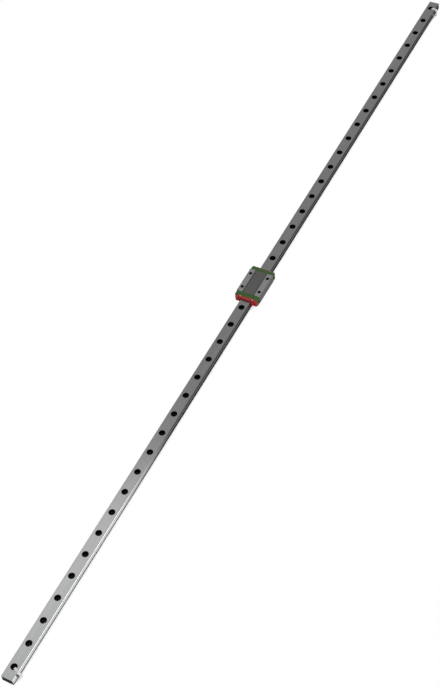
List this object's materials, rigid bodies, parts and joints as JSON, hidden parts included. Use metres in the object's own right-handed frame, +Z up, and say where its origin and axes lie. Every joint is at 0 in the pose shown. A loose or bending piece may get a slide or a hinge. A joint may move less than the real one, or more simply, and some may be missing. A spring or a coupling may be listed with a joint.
{
  "type": "miniature linear guide rail with carriage",
  "caption": "Low ground-steel profile rail with counterbored holes and a recirculating-ball carriage that slides along it.",
  "frame": {"origin": "middle of the rail's base, on the plane that it is bolted down on", "axes": "+X along the rail, +Z up from the rail's base to the carriage's top, +Y across the rail"},
  "size_m": [1, 0.027, 0.0165],
  "materials": {
    "ground_steel": "ground, satin",
    "block_steel": "ground, satin",
    "green_plastic": "moulded, satin",
    "red_seal": "moulded, glossy",
    "screw_steel": "bright",
    "ball_steel": "polished",
    "nylon": "natural, slightly translucent"
  },
  "bodies": {
    "rail": {"rail": "ground_steel", "tie_near": "nylon", "tie_far": "nylon"},
    "carriage": {"carriage_block": "block_steel", "end_cap_near": "green_plastic", "end_cap_far": "green_plastic", "end_seal_near": "red_seal", "end_seal_far": "red_seal", "screw_near_left": "screw_steel", "screw_near_right": "screw_steel", "screw_far_left": "screw_steel", "screw_far_right": "screw_steel", "bearing_balls_left": "ball_steel", "bearing_balls_right": "ball_steel", "retaining_wire_left": "ball_steel", "retaining_wire_right": "ball_steel"}
  },
  "joints": [
    {"name": "carriage_slide", "type": "slide", "parent": "rail", "child": "carriage", "axis": [1, 0, 0], "range_m": [-0.458, 0.4665]}
  ]
}
